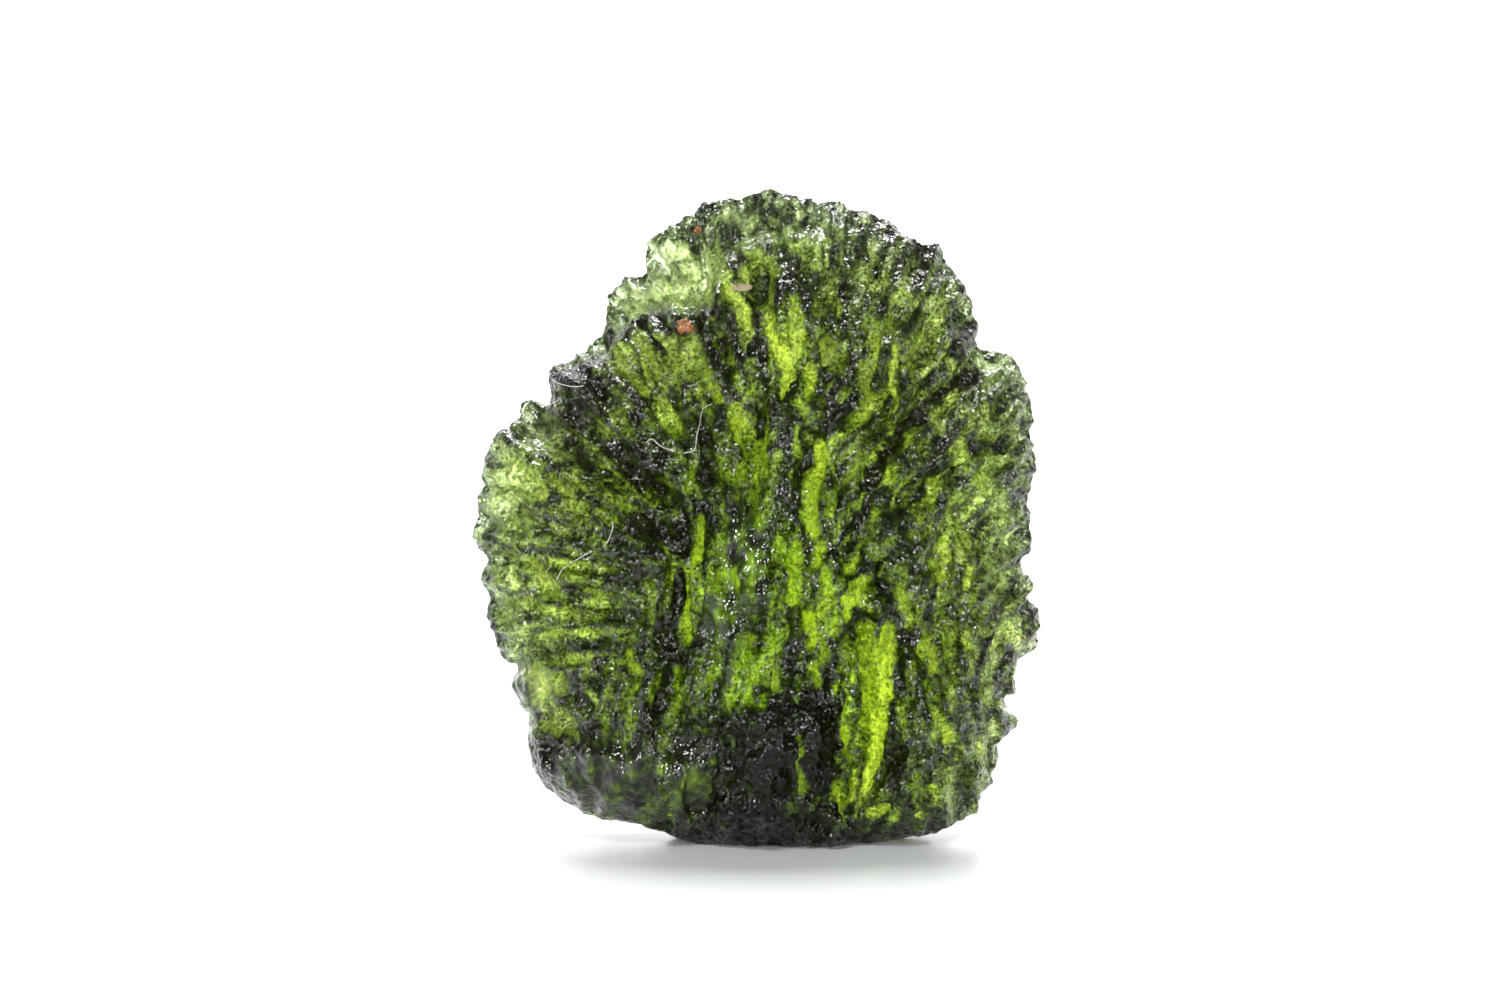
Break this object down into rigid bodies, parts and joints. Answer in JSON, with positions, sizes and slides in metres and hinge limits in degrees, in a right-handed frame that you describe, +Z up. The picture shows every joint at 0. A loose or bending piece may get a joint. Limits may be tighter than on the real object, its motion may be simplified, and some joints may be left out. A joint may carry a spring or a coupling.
{
  "type": "moldavite",
  "caption": "Natural piece of green glass with ridges and grooves that fan out to a saw-toothed rim, standing on a small flat spot.",
  "frame": {"origin": "middle of the bounding box at the level of the flat spot that the piece stands on", "axes": "+Z up from the flat spot, along the longest extent; -Y towards the front, the side that the picture shows; +X to the viewer's right; Y is the thickness"},
  "size_m": [0.021, 0.0096, 0.0239],
  "materials": {
    "green_glass": "natural bottle-green glass, etched and glossy, clear where it is thin and nearly black where it is thick"
  },
  "bodies": {
    "root": {"moldavite": "green_glass"}
  },
  "joints": []
}
